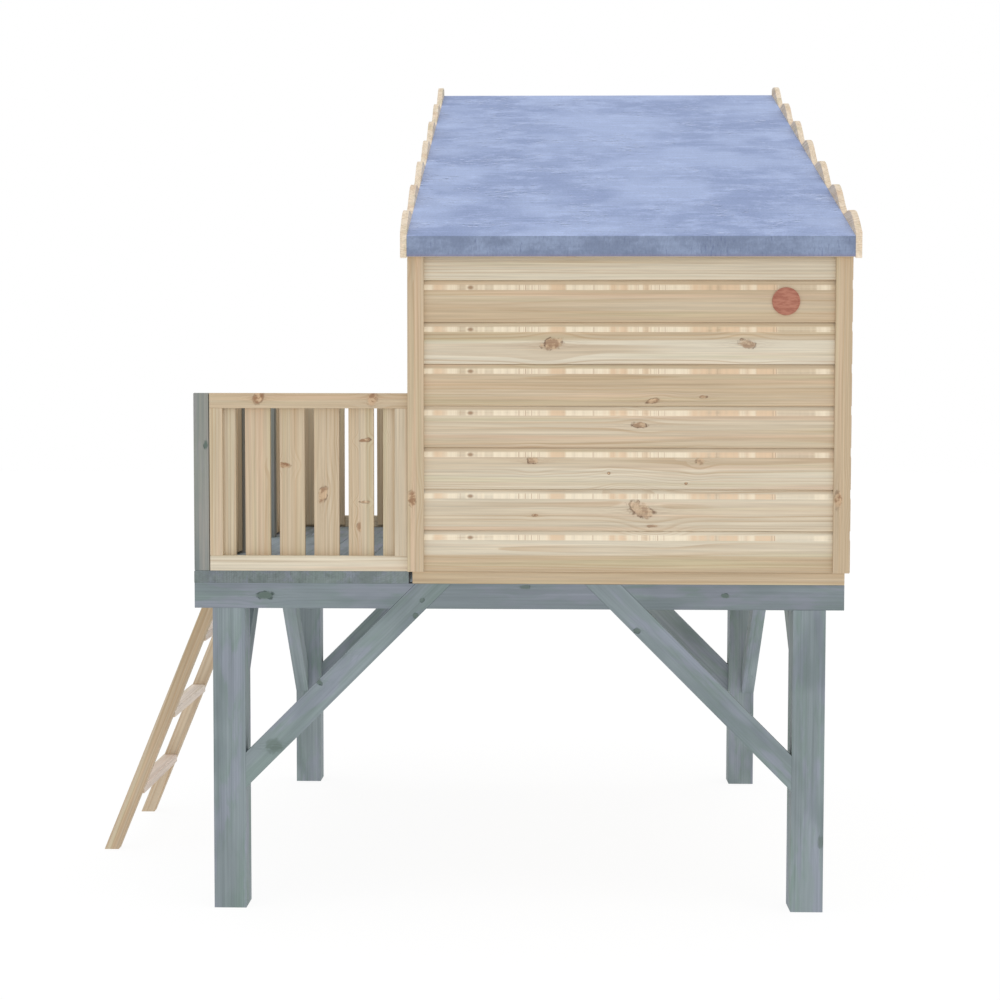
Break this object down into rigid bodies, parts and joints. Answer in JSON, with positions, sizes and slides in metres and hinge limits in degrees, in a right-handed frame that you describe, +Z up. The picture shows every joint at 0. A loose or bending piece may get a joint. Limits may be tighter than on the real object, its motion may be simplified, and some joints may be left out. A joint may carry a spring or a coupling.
{
  "type": "stilt playhouse",
  "caption": "Garden playhouse on braced timber stilts: boarded house with a single-slope felted roof, wavy bargeboards, a railed porch, a ladder and a hinged door.",
  "frame": {"origin": "on the ground, under the middle of the whole object's box", "axes": "+Z up; +X from the ladder towards the back of the house; +Y from the low wall towards the high wall"},
  "size_m": [2.2488, 1.89, 2.5784],
  "materials": {
    "stained_timber": "blue-grey translucent wood stain over sawn softwood, matt",
    "pine_railing": "planed untreated pine, matt",
    "pine_cladding": "planed untreated pine boards, matt",
    "pine_trim": "planed untreated pine, matt",
    "pine_frame": "sawn untreated pine battens and boards, matt",
    "pine_door": "planed untreated pine boards, matt",
    "roof_felt": "blue-grey mineral roofing felt, matt, with light wrinkles",
    "hinge_steel": "zinc-plated steel, satin",
    "ladder_pine": "planed pine, a little darker than the walls, matt",
    "copper_disc": "plain copper-coloured disc, satin"
  },
  "bodies": {
    "playhouse": {"leg_porch_near": "stained_timber", "leg_porch_far": "stained_timber", "leg_back_near": "stained_timber", "leg_back_far": "stained_timber", "long_brace_porch_near": "stained_timber", "long_brace_porch_far": "stained_timber", "long_brace_back_near": "stained_timber", "long_brace_back_far": "stained_timber", "side_brace_porch_near": "stained_timber", "side_brace_porch_far": "stained_timber", "side_brace_back_near": "stained_timber", "side_brace_back_far": "stained_timber", "beam_near": "stained_timber", "beam_far": "stained_timber", "cross_beam_porch": "stained_timber", "cross_beam_back": "stained_timber", "middle_joist": "stained_timber", "porch_board_1": "stained_timber", "porch_board_2": "stained_timber", "porch_board_3": "stained_timber", "porch_board_4": "stained_timber", "corner_post_near": "stained_timber", "corner_post_far": "stained_timber", "gate_post_near": "stained_timber", "gate_post_far": "stained_timber", "side_railing_near": "pine_railing", "side_railing_far": "pine_railing", "front_railing_near": "pine_railing", "front_railing_far": "pine_railing", "cladding_low": "pine_cladding", "cladding_high": "pine_cladding", "cladding_porch": "pine_cladding", "cladding_back": "pine_cladding", "corner_trim_porch_near": "pine_trim", "corner_trim_porch_far": "pine_trim", "corner_trim_back_near": "pine_trim", "corner_trim_back_far": "pine_trim", "bargeboard_porch": "pine_trim", "bargeboard_back": "pine_trim", "window_trim": "pine_trim", "frame_low": "pine_frame", "frame_high": "pine_frame", "frame_porch": "pine_frame", "frame_back": "pine_frame", "rafter": "pine_frame", "roof_panel": "pine_frame", "house_floor": "pine_frame", "roof_felt": "roof_felt", "hinge_bracket_lower": "hinge_steel", "hinge_bracket_upper": "hinge_steel", "ladder_stile_near": "ladder_pine", "ladder_stile_far": "ladder_pine", "ladder_tread_1": "ladder_pine", "ladder_tread_2": "ladder_pine", "ladder_tread_3": "ladder_pine", "wall_disc": "copper_disc"},
    "door": {"door_leaf": "pine_door", "door_knob": "ladder_pine", "hinge_strap_lower": "hinge_steel", "hinge_strap_upper": "hinge_steel"}
  },
  "joints": [
    {"name": "door_hinge", "type": "hinge", "parent": "playhouse", "child": "door", "pos_m": [-0.11862, 0.29, 1.498], "axis": [0, 0, -1], "range_deg": [0, 100]}
  ]
}
